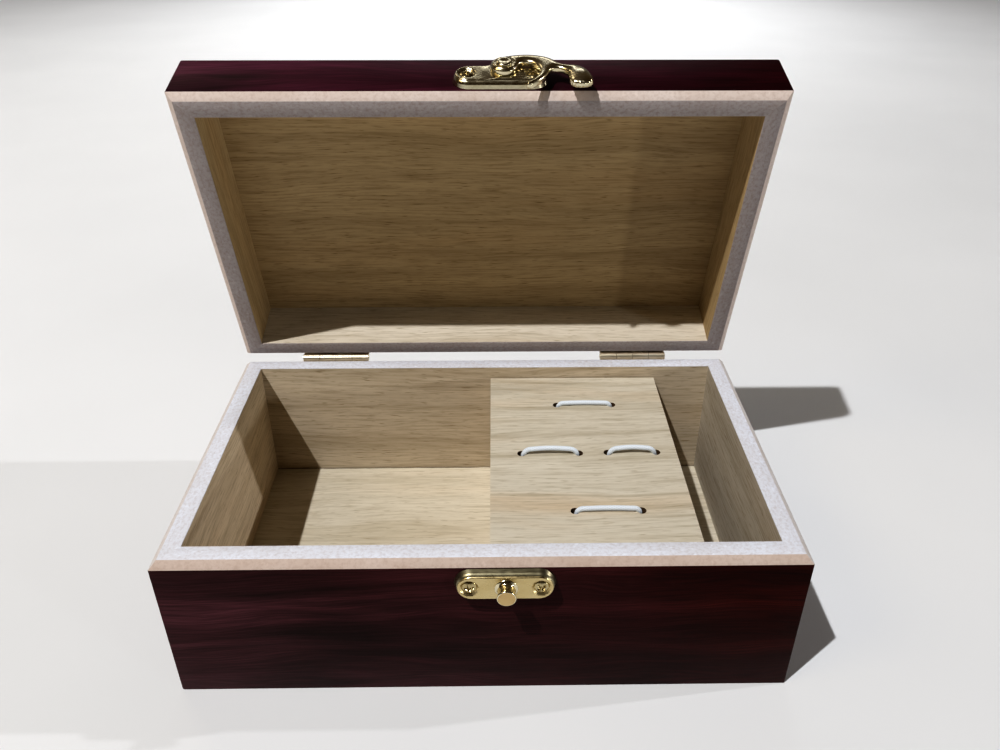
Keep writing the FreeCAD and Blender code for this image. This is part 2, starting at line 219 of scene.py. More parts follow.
def oak(name, seed, col=(0.575, 0.487, 0.352), tex=None, contrast=1.0, figure=1.0, scale=1.0, joint=None):
    """Pale oak face: soft bands, quiet growth lines, fine straight fibre and short open pores."""
    m = Mat(name)
    src = m.uv() if tex is None else tex(m)
    uv = m.map(src, (scale, scale, 1), loc=(seed * 1.7, seed * 0.61, 0))
    warp = m.noise(m.map(uv, (0.9, 2.2, 1)), 1.0, 2, 0.45, color=True)
    uvw = m.vadd(uv, m.map(warp, (0.0, 0.16, 0.0), loc=(0.0, -0.08, 0.0)))
    band = m.noise(m.map(uvw, (0.55, 8.5, 1)), 1.0, 3, 0.5)
    line = m.noise(m.map(uvw, (0.8, 26.0, 1)), 1.0, 2, 0.5)
    fib = m.noise(m.map(uvw, (6.5, 120.0, 1)), 1.0, 3, 0.62)
    pore = m.noise(m.map(uvw, (17.0, 230.0, 1), loc=(3.3, 8.1, 0)), 1.0, 1, 0.5)
    hue = m.noise(m.map(uvw, (0.7, 5.0, 1), loc=(11.0, 4.0, 0)), 1.0, 2, 0.5)
    r, g, b_ = col
    k = contrast

    def sh(f, w=0.0):
        return (r * f, g * (f - 0.02 * w), b_ * (f - 0.06 * w))
    base = m.ramp(band, [(0.28, sh(1 - 0.13 * k, 1)), (0.47, sh(1.0)), (0.68, sh(1 + 0.09 * k, -0.5))])
    base = m.mix(m.ramp(hue, [(0.52, 0.0), (0.72, 0.35 * figure)]), base, (r * 0.98, g * 0.86, b_ * 0.74))
    c = m.mix(m.ramp(line, [(0.30, 0.30 * k * figure), (0.46, 0.0)]), base, sh(0.62, 2))
    c = m.mix(m.ramp(fib, [(0.28, 0.55 * k), (0.52, 0.0)]), c, sh(0.60, 2))
    c = m.mix(m.ramp(fib, [(0.54, 0.0), (0.74, 0.30 * k)]), c, sh(1.20, -1))
    c = m.mix(m.ramp(pore, [(0.25, 0.60 * k), (0.37, 0.0)]), c, sh(0.42, 3))
    if joint:
        # open joint along the two long edges: a thin, broken dark line
        x, y, z = m.xyz(src)
        brk = m.noise(m.map(src, (9.0, 1.0, 1)), 1.0, 3, 0.6)
        edge = m.math("SUBTRACT", joint, m.math("ABSOLUTE", y))
        near = m.math("LESS_THAN", edge, m.math("MULTIPLY", brk, 0.0125))
        c = m.mix(m.math("MULTIPLY", near, 0.75), c, sh(0.14, 1))
    rough = m.ramp(fib, [(0.3, 0.66), (0.7, 0.54)])
    bump = m.bump(m.mix(0.5, fib, pore), 0.22, 0.00006)
    return m.set(color=c, rough=rough, spec=0.24, normal=bump)


def mdf(name, seed, tint=(0.715, 0.750, 0.835), mott=1.0):
    """Sawn and sanded fibreboard edge: pale, mottled, with fine fibre specks."""
    m = Mat(name)
    uv = m.map(m.uv(), loc=(seed, seed * 0.7, 0))
    cloud = m.noise(m.map(uv, (4.0, 9.0, 1)), 1.0, 3, 0.6)
    speck = m.noise(m.map(uv, (70.0, 95.0, 1)), 1.0, 3, 0.7)
    fleck = m.noise(m.map(uv, (48.0, 60.0, 1), loc=(7, 3, 0)), 1.0, 1, 0.5)
    scuff = m.noise(m.map(uv, (1.4, 40.0, 1)), 1.0, 2, 0.6)
    t = tint
    base = m.ramp(cloud, [(0.3, (t[0] * 0.90, t[1] * 0.87, t[2] * 0.84)), (0.7, t)])
    c = m.mix(m.ramp(speck, [(0.32, 0.50 * mott), (0.55, 0.0)]), base, (t[0] * 0.68, t[1] * 0.60, t[2] * 0.55))
    c = m.mix(m.ramp(fleck, [(0.62, 0.0), (0.76, 0.5 * mott)]), c, (min(1, t[0] * 1.14), min(1, t[1] * 1.14), min(1, t[2] * 1.14)))
    c = m.mix(m.ramp(scuff, [(0.62, 0.0), (0.8, 0.25 * mott)]), c, (t[0] * 0.72, t[1] * 0.62, t[2] * 0.55))
    bump = m.bump(speck, 0.35, 0.00012)
    return m.set(color=c, rough=0.88, spec=0.2, normal=bump)


def brass(name, seed, col=(0.86, 0.74, 0.42), r0=0.13, r1=0.26, scratch=0.10):
    """Bright plated casting: pale gold, slight haze, fine polishing scratches."""
    m = Mat(name)
    p = m.map(m.obj(), (1, 1, 1), loc=(seed, seed * 2, seed * 3))
    haze = m.noise(p, 420.0, 3, 0.6)
    tone = m.noise(p, 130.0, 2, 0.5)
    scr = m.noise(m.map(p, (300, 2600, 2600), rot=(0.2, 0.4, 0.9)), 1.0, 2, 0.6)
    c = m.ramp(tone, [(0.3, (col[0] * 0.90, col[1] * 0.87, col[2] * 0.80)), (0.7, col)])
    c = m.mix(m.ramp(haze, [(0.60, 0.0), (0.78, 0.35)]), c, (col[0] * 0.72, col[1] * 0.66, col[2] * 0.55))
    rough = m.ramp(m.mix(0.5, haze, scr), [(0.35, r0), (0.65, r1)])
    bump = m.bump(m.mix(0.6, scr, haze), scratch, 0.00003)
    return m.set(color=c, metal=1.0, rough=rough, normal=bump)


def elastic(name):
    """White braided elastic: two families of fine diagonal plaits."""
    m = Mat(name)
    uv = m.uv()
    u, v, _ = m.xyz(uv)
    a = m.math("SINE", m.math("MULTIPLY", m.math("ADD", u, v), 2 * math.pi))
    b = m.math("SINE", m.math("MULTIPLY", m.math("SUBTRACT", u, v), 2 * math.pi))
    h = m.math("MAXIMUM", a, b)
    fuzz = m.noise(m.map(uv, (9, 9, 1)), 3.0, 3, 0.7)
    # the plait grooves are coloured darker than the crests: painted shade
    c = m.ramp(h, [(0.0, (0.64, 0.705, 0.78)), (0.55, (0.725, 0.79, 0.86)), (1.0, (0.76, 0.82, 0.885))])
    c = m.mix(m.ramp(fuzz, [(0.55, 0.0), (0.75, 0.25)]), c, (0.60, 0.66, 0.72))
    bump = m.bump(m.mix(0.25, h, fuzz), 0.18, 0.00008)
    return m.set(color=c, rough=0.75, spec=0.25, sheen=0.25, sheen_rough=0.4, normal=bump)


def deck_tex(m):
    x, y, z = m.xyz(m.obj())
    yy = m.math("ADD", y, m.math("MULTIPLY", z, 0.9))
    return m.comb(m.math("MULTIPLY", x, 10.0), m.math("MULTIPLY", yy, 10.0), 0.0)


# both foils carry painted light along the box: a painted sheen in the first tone at the left, a painted shade in the
# last tuple at the right
M_ROSE_BASE = rosewood("rosewood_foil_base", 3.1, (0.066, 0.0225, 0.0265), (0.52, 0.19, 0.10))
M_ROSE_LID = rosewood("rosewood_foil_lid", 5.65, (0.074, 0.0180, 0.0330), (0.42, 0.20, 0.20))
# the back and right inner walls are darker copies of the base oak: painted shade
M_OAK_BASE = oak("oak_face_base_walls", 1.3, (0.635, 0.545, 0.420), contrast=1.25)
M_OAK_BASE_BACK_PAINTED_SHADE = oak("oak_face_base_back_painted_shade", 1.3, (0.545, 0.470, 0.362), contrast=1.25)
M_OAK_BASE_RIGHT_PAINTED_SHADE = oak("oak_face_base_right_painted_shade", 1.3, (0.415, 0.375, 0.312), contrast=1.25)
M_OAK_FLOOR = oak("oak_face_floor", 6.2, (0.620, 0.575, 0.480), joint=0.52)
# the lid's side walls and inner panel are darker, more orange copies of the lid oak: painted shade
M_OAK_LID = oak("oak_face_lid_back", 4.6, (0.635, 0.580, 0.490), contrast=1.2)
M_OAK_LID_SIDE_PAINTED_SHADE = oak("oak_face_lid_sides_painted_shade", 5.9, (0.430, 0.325, 0.185), contrast=1.2)
M_OAK_PANEL_PAINTED_SHADE = oak("oak_face_lid_panel_painted_shade", 7.7, (0.415, 0.310, 0.172), contrast=1.5)
# dark hole walls: painted shade inside the drilled holes
M_HOLE_PAINTED_SHADE = oak("drilled_hole_wall_painted_shade", 3.7, (0.110, 0.070, 0.040), tex=deck_tex)
M_OAK_DECK = oak("oak_face_deck", 9.7, (0.585, 0.545, 0.460), contrast=0.95, figure=2.2, tex=deck_tex)
M_OAK_LEG = oak("oak_face_legs", 2.9, (0.550, 0.460, 0.330), tex=deck_tex)
M_MDF_BASE = mdf("fibreboard_rim_base", 2.0)
# the lid rim is a darker copy of the rim fibreboard: painted shade
M_MDF_LID_PAINTED_SHADE = mdf("fibreboard_rim_lid_painted_shade", 5.0, (0.425, 0.390, 0.390), 1.3)
M_CHAM_BASE = mdf("fibreboard_chamfer_base", 3.4, (0.575, 0.485, 0.435), 0.8)
M_CHAM_SIDE = mdf("fibreboard_chamfer_sides", 4.1, (0.66, 0.635, 0.635), 0.8)
M_CHAM_LID = mdf("fibreboard_chamfer_lid", 6.4, (0.68, 0.60, 0.56), 0.8)
M_UNDER = mdf("fibreboard_underside", 9.0, tint=(0.20, 0.13, 0.10))
M_BRASS = brass("bright_brass", 0.3, col=(0.78, 0.72, 0.54), r0=0.13, r1=0.26)
M_BRASS_FACE = brass("worn_brass_face", 4.9, col=(0.675, 0.565, 0.325), r0=0.24, r1=0.42)
# darker brass for the catch plate's sloping sides: painted shade
M_BRASS_SIDE_PAINTED_SHADE = brass("brass_side_painted_shade", 6.3, col=(0.30, 0.275, 0.19), r0=0.30, r1=0.45)
M_BRASS_END = brass("worn_stud_end", 7.2, col=(0.67, 0.52, 0.29), r0=0.38, r1=0.55)
M_BRASS_SCREW = brass("brass_screw", 1.1, col=(0.56, 0.48, 0.29), r0=0.16, r1=0.30)
M_BRASS_HINGE = brass("brass_hinge", 2.3, col=(0.86, 0.80, 0.66), r0=0.34, r1=0.46, scratch=0.02)
M_ELASTIC = elastic("white_braided_elastic")


# ---------------------------------------------------------------------------
# mesh helpers
# ---------------------------------------------------------------------------
def new_obj(name, verts, faces, mats, mat_idx=None, uvs=None, smooth=None):
    me = bpy.data.meshes.new(name)
    me.from_pydata([tuple(c * MM for c in v) for v in verts], [], faces)
    for m in mats:
        me.materials.append(m)
    if mat_idx:
        me.polygons.foreach_set("material_index", mat_idx)
    if smooth:
        me.polygons.foreach_set("use_smooth", smooth)
    if uvs:
        lay = me.uv_layers.new(name="UVMap")
        for poly, fu in zip(me.polygons, uvs):
            for li, c in zip(poly.loop_indices, fu):
                lay.data[li].uv = c
    me.validate()
    me.update()
    o = bpy.data.objects.new(name, me)
    bpy.context.scene.collection.objects.link(o)
    return o


SIDES = {
    # along, inward, half length, distance of the outer face
    "front": ((1, 0), (0, 1), W / 2, (0, -D / 2)),
    "right": ((0, 1), (-1, 0), D / 2, (W / 2, 0)),
    "back": ((-1, 0), (0, -1), W / 2, (0, D / 2)),
    "left": ((0, -1), (1, 0), D / 2, (-W / 2, 0)),
}
R_EDGE = 0.6     # rounding of the upright corners


def board(name, side, prof, mats, lid, seed):
    """A mitred board: the profile (inset p, height z, slot of the next strip,
    texture mode) is carried along the wall and round half of each corner."""
    al, inw, h, org = SIDES[side]
    n = len(prof)
    stations = []
    for e in (-1, 1):
        col = []
        for j in range(5):
            ring = []
            for p, z, s_, t_ in prof:
                if p < R_EDGE and j >= 1:
                    f = math.radians(45.0) * (j - 1) / 3.0
                    s = h - R_EDGE + (R_EDGE - p) * math.sin(f)
                    q = R_EDGE - (R_EDGE - p) * math.cos(f)
                elif p < R_EDGE:
                    s, q = h - T - 1.0, p
                else:
                    s, q = (h - T - 1.0) + (T + 1.0 - p) * j / 4.0, p
                ring.append((e * s, q, z))
            col.append(ring)
        stations.append(col)
    rings = stations[0][::-1] + stations[1]
    verts, loc = [], []
    for ring in rings:
        for s, q, z in ring:
            x = org[0] + al[0] * s + inw[0] * q
            y = org[1] + al[1] * s + inw[1] * q
            v = (x, y, z)
            loc.append((s, q, z, x, y))
            verts.append(opened(v) if lid else v)
    faces, idx, uvs, sm = [], [], [], []
    for i in range(len(rings) - 1):
        for j in range(n):
            k = (j + 1) % n
            f = (i * n + j, (i + 1) * n + j, (i + 1) * n + k, i * n + k)
            faces.append(f)
            idx.append(prof[j][2])
            mode = prof[j][3]
            fu = []
            for vi in f:
                s, q, z, x, y = loc[vi]
                if mode == "z":
                    fu.append((s / 100 + seed, z / 100))
                elif mode == "xy":
                    fu.append((x / 100, y / 100))
                else:
                    fu.append((s / 100 + seed, q / 100))
            uvs.append(fu)
            sm.append(mode == "xy")
    faces.append(tuple(range(n - 1, -1, -1)))
    faces.append(tuple((len(rings) - 1) * n + j for j in range(n)))
    for f in faces[-2:]:
        idx.append(3)
        uvs.append([(loc[v][1] / 100, loc[v][2] / 100) for v in f])
        sm.append(False)
    o = new_obj(name, verts, faces, mats, idx, uvs, sm)
    o.data.set_sharp_from_angle(angle=math.radians(35.0))
    return o


BASE_PROF = [
    (0.35, 0.0, 0, "z"), (0.10, 0.10, 0, "z"), (0.0, 0.35, 0, "z"), (0.0, HB - CH - 0.10, 0, "z"),
    (0.08, HB - CH + 0.08, 4, "p"), (CH - 0.10, HB - 0.10, 1, "p"), (CH + 0.12, HB, 1, "p"),
    (T - 0.22, HB, 1, "p"), (T - 0.06, HB - 0.06, 1, "p"), (T, HB - 0.24, 2, "z"), (T, 0.0, 3, "p"),
]
ZR = HB + GAP
ZT = HB + HL
LID_PROF = [(T, ZT, 0, "xy"), (TOP_R + 0.3, ZT, 0, "xy"), (TOP_R, ZT, 0, "xy")]
for k_ in range(1, 6):
    f_ = math.radians(90.0 * k_ / 6)
    LID_PROF.append((TOP_R - (TOP_R - 0.004) * math.sin(f_), ZT - TOP_R + (TOP_R - 0.004) * math.cos(f_), 0, "xy"))
LID_PROF += [
    (0.0, ZT - TOP_R, 0, "z"), (0.0, ZR + CH + 0.10, 0, "z"), (0.08, ZR + CH - 0.08, 4, "p"), (CH - 0.10, ZR + 0.10, 1, "p"),
    (CH + 0.12, ZR, 1, "p"), (T - 0.22, ZR, 1, "p"), (T - 0.06, ZR + 0.06, 1, "p"), (T, ZR + 0.24, 2, "z"),
]

for i_, side in enumerate(("front", "right", "back", "left")):
    o = board("base_board_" + side, side, BASE_PROF, [M_ROSE_BASE, M_MDF_BASE, {"back": M_OAK_BASE_BACK_PAINTED_SHADE, "right": M_OAK_BASE_RIGHT_PAINTED_SHADE}.get(side, M_OAK_BASE), M_UNDER, M_CHAM_BASE if side == "front" else M_CHAM_SIDE], False, 2.3 * i_)
    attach(o, "base"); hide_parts("base_%s_wall" % side)
    o = board("lid_board_" + side, side, LID_PROF, [M_ROSE_LID, M_MDF_LID_PAINTED_SHADE, M_OAK_LID if side in ("back", "front") else M_OAK_LID_SIDE_PAINTED_SHADE, M_UNDER, M_CHAM_LID], True, 2.9 * i_ + 1.1)
    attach(o, "lid"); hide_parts("lid_%s_wall" % side)


def panel(name, x0, x1, y0, y1, z0, z1, mats, tf=None, bev=0.0, nx=24, ny=14, warp=None):
    """Flat panel as a fine grid top and bottom with its edges, so it can carry a slight crown."""
    verts, uv = [], []
    for z in (z0, z1):
        for j in range(ny + 1):
            for i in range(nx + 1):
                x = x0 + (x1 - x0) * i / nx
                y = y0 + (y1 - y0) * j / ny
                dz = warp(x, y) if warp else 0.0
                v = (x, y, z + dz)
                verts.append(tf(v) if tf else v)
                uv.append((x / 100, y / 100))
    m = (nx + 1) * (ny + 1)
    g = lambda l, i, j: l * m + j * (nx + 1) + i
    faces, idx = [], []
    for j in range(ny):
        for i in range(nx):
            faces.append((g(0, i, j), g(0, i, j + 1), g(0, i + 1, j + 1), g(0, i + 1, j))); idx.append(0)
            faces.append((g(1, i, j), g(1, i + 1, j), g(1, i + 1, j + 1), g(1, i, j + 1))); idx.append(1)
    for i in range(nx):
        faces.append((g(0, i, 0), g(0, i + 1, 0), g(1, i + 1, 0), g(1, i, 0))); idx.append(2)
        faces.append((g(0, i + 1, ny), g(0, i, ny), g(1, i, ny), g(1, i + 1, ny))); idx.append(2)
    for j in range(ny):
        faces.append((g(0, 0, j + 1), g(0, 0, j), g(1, 0, j), g(1, 0, j + 1))); idx.append(2)
        faces.append((g(0, nx, j), g(0, nx, j + 1), g(1, nx, j + 1), g(1, nx, j))); idx.append(2)
    uvs = [[uv[v] for v in f] for f in faces]
    return new_obj(name, verts, faces, mats, idx, uvs)


o = panel("base_floor_panel", -92, 92, -52, 52, 0.0, FLOOR_T, [M_UNDER, M_OAK_FLOOR, M_MDF_BASE])
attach(o, "base"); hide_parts("base_floor")
o = panel("lid_top_panel", -92, 92, -52, 52, ZT - PANEL_T, ZT, [M_OAK_PANEL_PAINTED_SHADE, M_ROSE_LID, M_MDF_LID_PAINTED_SHADE], tf=opened)
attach(o, "lid"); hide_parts("lid_panel")


# ---------------------------------------------------------------------------
# latch and catch: die-cast pieces with rounded shoulders
# ---------------------------------------------------------------------------
def on_lid(cx, cz):
    return lambda u, v, h: opened((cx + u, -D / 2 - h, cz + v))


def on_base(cx, cz):
    return lambda u, v, h: (cx + u, -D / 2 - h, cz + v)


def smooth01(t):
    t = np.clip(t, 0.0, 1.0)
    return t * t * (3 - 2 * t)


def spline(pts, step):
    """Closed curve through the points at an even spacing."""
    n = len(pts)
    out = []
    for i in range(n):
        p0, p1, p2, p3 = (np.array(pts[(i + k) % n], float) for k in (-1, 0, 1, 2))
        m = max(2, int(round(np.linalg.norm(p2 - p1) / step * 2)))
        for j in range(m):
            t = j / m
            out.append(0.5 * (2 * p1 + (p2 - p0) * t + (2 * p0 - 5 * p1 + 4 * p2 - p3) * t * t + (3 * p1 - p0 - 3 * p2 + p3) * t ** 3))
    out = np.array(out)
    seg = np.linalg.norm(np.roll(out, -1, 0) - out, axis=1)
    L = np.concatenate([[0], np.cumsum(seg)])
    k = int(L[-1] / step)
    q = np.linspace(0, L[-1], k, endpoint=False)
    c = np.vstack([out, out[:1]])
    return np.stack([np.interp(q, L, c[:, 0]), np.interp(q, L, c[:, 1])], 1)


def ccw(P):
    x, y = P[:, 0], P[:, 1]
    return P if np.sum(x * np.roll(y, -1) - np.roll(x, -1) * y) > 0 else P[::-1].copy()


def edge_dist(Q, P):
    A, B = P, np.roll(P, -1, 0)
    d = np.full(len(Q), 1e9)
    AB = B - A
    L2 = np.maximum((AB ** 2).sum(1), 1e-12)
    for i in range(0, len(Q), 400):
        q = Q[i:i + 400]
        t = np.clip(((q[:, None] - A) * AB).sum(2) / L2, 0, 1)
        c = A + t[..., None] * AB
        d[i:i + 400] = np.sqrt(((q[:, None] - c) ** 2).sum(2)).min(1)
    return d


def inside(Q, P):
    A, B = P, np.roll(P, -1, 0)
    x, y = Q[:, 0][:, None], Q[:, 1][:, None]
    cond = (A[:, 1] > y) != (B[:, 1] > y)
    dy = B[:, 1] - A[:, 1]
    dy = np.where(np.abs(dy) < 1e-12, 1e-12, dy)
    xi = (B[:, 0] - A[:, 0]) * (y - A[:, 1]) / dy + A[:, 0]
    return ((cond & (x < xi)).sum(1) % 2) == 1


def cast(name, P, z0, z1, rt, rb, mats, tf, hfun=None, grid=0.4, draft=0.0):
    """Solid of an outline: rounded upper and lower shoulders, optional relief on the top."""
    P = ccw(np.asarray(P, float))
    n = len(P)
    tan = np.roll(P, -1, 0) - np.roll(P, 1, 0)
    tan /= np.linalg.norm(tan, axis=1)[:, None]
    nin = np.stack([-tan[:, 1], tan[:, 0]], 1)
    extra = []
    for f in (0.06, 0.18, 0.36, 0.60, 0.86, 1.15):
        d = rt * f
        q = P + nin * d
        ok = (edge_dist(q, P) > 0.97 * d) & inside(q, P)
        extra.append(q[ok])
    lo_, hi_ = P.min(0), P.max(0)
    gx, gy = np.meshgrid(np.arange(lo_[0], hi_[0], grid), np.arange(lo_[1], hi_[1], grid))
    G = np.stack([gx.ravel(), gy.ravel()], 1)
    G = G[inside(G, P)]
    G = G[edge_dist(G, P) > rt * 1.15 + grid * 0.5]
    Q = np.vstack([P] + extra + [G])
    vs, es, fs, ov, oe, of_ = delaunay_2d_cdt([Vector(q) for q in Q], [], [list(range(n))], 1, 1e-5)
    V = np.array([(v[0], v[1]) for v in vs])
    d = edge_dist(V, P)
    bnd = {}
    for i, o_ in enumerate(ov):
        for k in o_:
            if k < n:
                bnd[k] = i
                d[i] = 0.0
    dt = np.minimum(d, rt)
    top = z1 - rt + np.sqrt(np.maximum(0, rt * rt - (rt - dt) ** 2))
    db = np.minimum(d, rb)
    bot = z0 + rb - np.sqrt(np.maximum(0, rb * rb - (rb - db) ** 2))
    if hfun is not None:
        top = top + hfun(V[:, 0], V[:, 1], d) * smooth01(d / max(rt, 0.3))
    m = len(V)
    verts = [tf(V[i, 0], V[i, 1], top[i]) for i in range(m)] + [tf(V[i, 0], V[i, 1], bot[i]) for i in range(m)]
    faces, slot_of = [], {}
    for f in fs:
        p = V[list(f)]
        ar = (p[1, 0] - p[0, 0]) * (p[2, 1] - p[0, 1]) - (p[2, 0] - p[0, 0]) * (p[1, 1] - p[0, 1])
        t_ = tuple(f) if ar > 0 else tuple(f)[::-1]
        faces.append(t_)
        if not draft:
            faces.append(tuple(m + v for v in t_[::-1]))
    if draft:
        # sloping sides down to a larger foot
        verts = verts[:m]
        rows = ((0.03, 0.0), (0.5, 0.5), (0.93, 0.93), (1.0, 1.0))
        for f_, g_ in rows:
            hh = (z1 - rt) + (z0 - z1 + rt) * g_
            verts += [tf(P[k, 0] - nin[k, 0] * draft * f_, P[k, 1] - nin[k, 1] * draft * f_, hh) for k in range(n)]
        for r_ in range(len(rows)):
            for k in range(n):
                k2 = (k + 1) % n
                up_ = (bnd[k], bnd[k2]) if r_ == 0 else (m + (r_ - 1) * n + k, m + (r_ - 1) * n + k2)
                faces.append((up_[0], m + r_ * n + k, m + r_ * n + k2, up_[1]))
                slot_of[len(faces) - 1] = 1 if len(mats) > 1 else 0
        faces.append(tuple(m + (len(rows) - 1) * n + k for k in range(n - 1, -1, -1)))
    else:
        for k in range(n):
            a_, b_ = bnd[k], bnd[(k + 1) % n]
            faces.append((a_, m + a_, m + b_, b_))
    return new_obj(name, verts, faces, mats, [slot_of.get(i, 0) for i in range(len(faces))], None, [True] * len(faces))


def lathe(name, prof, tf, mats, seg=64, end=None):
    """Turned piece: profile of (radius, height) from the root to the end."""
    verts, faces = [], []
    for r, h in prof:
        for k in range(seg):
            a_ = 2 * math.pi * k / seg
            verts.append(tf(r * math.cos(a_), r * math.sin(a_), h))
    for i in range(len(prof) - 1):
        for k in range(seg):
            k2 = (k + 1) % seg
            faces.append((i * seg + k, i * seg + k2, (i + 1) * seg + k2, (i + 1) * seg + k))
    faces.append(tuple(range(seg - 1, -1, -1)))
    faces.append(tuple((len(prof) - 1) * seg + k for k in range(seg)))
    idx = [0] * len(faces)
    if end is not None:
        # the flat end has its own finish
        for i in range(len(prof) - 1 - end, len(prof) - 1):
            for k in range(seg):
                idx[i * seg + k] = 1
        idx[-1] = 1
    return new_obj(name, verts, faces, mats, idx, None, [True] * len(faces))


def cross_screw(name, centres, h0, R, dome, tf, mats, turn=0.3, slot=0.34, reach=0.60, depth=0.85):
    """Domed cross-head screws, modelled with their recess."""
    verts, faces = [], []
    seg, rings = 72, 26
    for ci, (cu, cv) in enumerate(centres):
        base = len(verts)
        a0 = turn + 0.5 * ci
        for i in range(rings + 1):
            r = R * i / rings
            for k in range(seg):
                a_ = 2 * math.pi * k / seg
                u, v = r * math.cos(a_), r * math.sin(a_)
                x = u * math.cos(a0) + v * math.sin(a0)
                y = -u * math.sin(a0) + v * math.cos(a0)
                w = slot * R * 0.5
                d1 = max(abs(x) - reach * R, abs(y) - w * (1.15 - 0.4 * abs(x) / R))
                d2 = max(abs(y) - reach * R, abs(x) - w * (1.15 - 0.4 * abs(y) / R))
                c_ = float(smooth01(np.array(0.5 - min(d1, d2) / 0.16)))
                e = min(1.0, (R - r) / 0.22)
                h = h0 + dome * (1 - (r / R) ** 2) * 0.85 + dome * 0.15 * (1 - (1 - e) ** 2) - depth * c_
                verts.append(tf(cu + u, cv + v, h))
        for k in range(seg):
            a_ = 2 * math.pi * k / seg
            verts.append(tf(cu + R * math.cos(a_), cv + R * math.sin(a_), h0 - 0.7))
        for i in range(rings + 1):
            for k in range(seg):
                k2 = (k + 1) % seg
                if i == 0:
                    faces.append((base + k, base + seg + k, base + seg + k2))
                elif i < rings:
                    faces.append((base + i * seg + k, base + (i + 1) * seg + k, base + (i + 1) * seg + k2, base + i * seg + k2))
                else:
                    faces.append((base + i * seg + k, base + (i + 1) * seg + k, base + (i + 1) * seg + k2, base + i * seg + k2))
        faces.append(tuple(base + (rings + 1) * seg + k for k in range(seg - 1, -1, -1)))
    o = new_obj(name, verts, faces, mats, None, None, [True] * len(faces))
    bm = bmesh.new()
    bm.from_mesh(o.data)
    bmesh.ops.remove_doubles(bm, verts=bm.verts, dist=1e-7)
    bm.to_mesh(o.data)
    bm.free()
    return o


def stadium(L, Wd, step=0.3):
    r = Wd / 2
    c = L / 2 - r
    pts = []
    k = int(math.pi * r / step)
    for i in range(k + 1):
        a_ = -math.pi / 2 + math.pi * i / k
        pts.append((c + r * math.cos(a_), r * math.sin(a_)))
    m = int(2 * c / step)
    for i in range(1, m):
        pts.append((c - 2 * c * i / m, r))
    for i in range(k + 1):
        a_ = math.pi / 2 + math.pi * i / k
        pts.append((-c + r * math.cos(a_), r * math.sin(a_)))
    for i in range(1, m):
        pts.append((-c + 2 * c * i / m, -r))
    return np.array(pts)


LP, CP, PV, ST = (6.3, 64.5), (6.7, 48.1), (7.5, 65.6), (7.0, 47.9)
PL, PW, PH, SCX, DRAFT = 29.2, 9.0, 3.0, 10.9, 0.9
pu, pv = PV[0] - LP[0], PV[1] - LP[1]


def latch_relief(u, v, d):
    rho = np.hypot(u - pu, v - pv)
    h = 0.32 * smooth01((8.0 - rho) / 3.0)
    for sx in (-SCX, SCX):
        h = h - 0.85 * smooth01((2.95 - np.hypot(u - sx, v)) / 0.35)
    return h


def catch_relief(u, v, d):
    h = np.zeros_like(u)
    for sx in (-SCX, SCX):
        h = h - 0.85 * smooth01((2.95 - np.hypot(u - sx, v)) / 0.35)
    return h


def place(o, body, nodes):
    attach(o, body)
    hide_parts(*nodes)


o = cast("latch_plate_cast", stadium(PL, PW), 0.0, PH, 0.5, 0.1, [M_BRASS], on_lid(*LP), latch_relief, draft=DRAFT)
place(o, "lid", ["latch_plate"])
# the catch plate's sides take the darker brass: painted shade
o = cast("catch_plate_cast", stadium(PL, PW), 0.0, PH, 0.5, 0.1, [M_BRASS_FACE, M_BRASS_SIDE_PAINTED_SHADE], on_base(*CP), catch_relief, draft=DRAFT)
place(o, "base", ["catch_plate"])
o = cross_screw("latch_cross_screws", [(-SCX, 0), (SCX, 0)], PH - 0.70, 2.35, 0.80, on_lid(*LP), [M_BRASS_SCREW], 0.35)
place(o, "lid", ["latch_screws"])
o = cross_screw("catch_cross_screws", [(-SCX, 0), (SCX, 0)], PH - 0.70, 2.35, 0.80, on_base(*CP), [M_BRASS_SCREW], 0.15)
place(o, "base", ["catch_screws"])
o = lathe("catch_stud_turned", [(0.5, 2.8), (3.6, 2.8), (3.6, 3.0), (3.5, 3.12), (3.15, 3.26), (2.8, 3.5), (2.62, 3.85), (2.58, 4.5), (2.58, 5.6), (2.66, 5.95), (2.86, 6.2),
                                 (2.97, 6.42), (3.0, 6.55), (3.0, 6.78), (2.95, 6.94), (2.82, 7.05), (2.66, 7.098), (2.5, 7.1), (0.4, 7.1)], on_base(*ST), [M_BRASS, M_BRASS_END], end=2)
place(o, "base", ["catch_stud"])
o = lathe("latch_rivet_turned", [(1.2, 3.0), (1.7, 3.0), (1.7, 5.7), (2.5, 5.75), (2.6, 5.95), (2.55, 6.2), (2.35, 6.4), (2.0, 6.49), (1.6, 6.5), (1.2, 6.4), (0.6, 6.28), (0.2, 6.25)], on_lid(*PV), [M_BRASS])
place(o, "lid", ["latch_rivet"])

